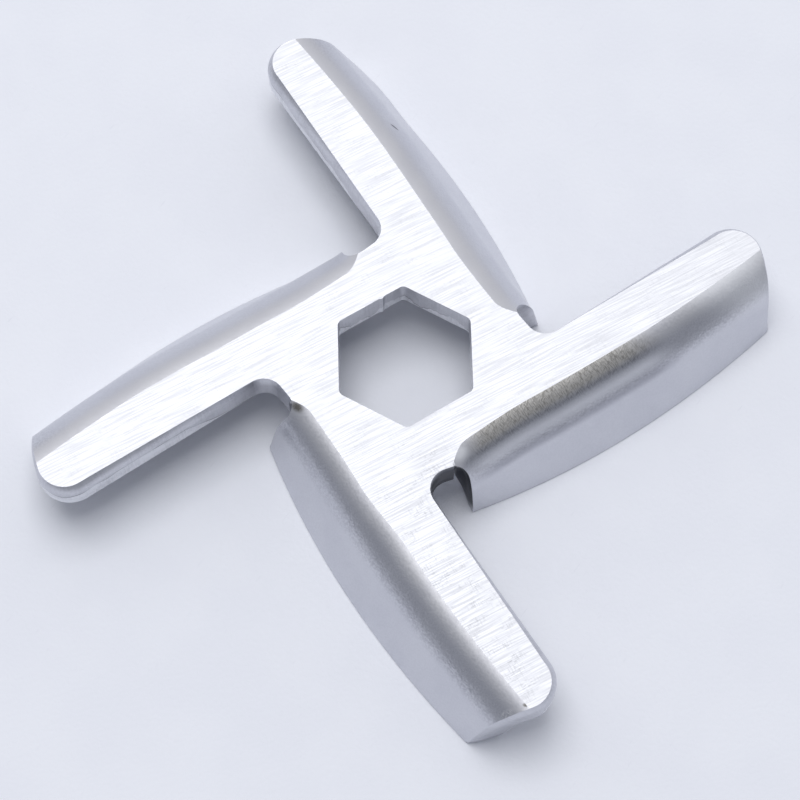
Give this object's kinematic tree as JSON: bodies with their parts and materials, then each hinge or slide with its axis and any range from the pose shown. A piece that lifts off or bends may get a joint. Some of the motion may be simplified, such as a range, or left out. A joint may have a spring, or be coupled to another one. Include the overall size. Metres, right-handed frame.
{
  "type": "meat grinder knife",
  "caption": "Flat ground disc-like hub with a hexagonal drive hole and straight cutting blades whose trailing wings bend down to feet, for a household meat grinder.",
  "frame": {"origin": "on the axis of the hexagonal drive hole, in the plane the feet stand on", "axes": "+Z along the drive axis, towards the ground cutting face; +Y along one blade"},
  "size_m": [0.0484, 0.0484, 0.005],
  "materials": {
    "steel": "ground cutting face, tumbled elsewhere"
  },
  "bodies": {
    "root": {"knife": "steel"}
  },
  "joints": []
}
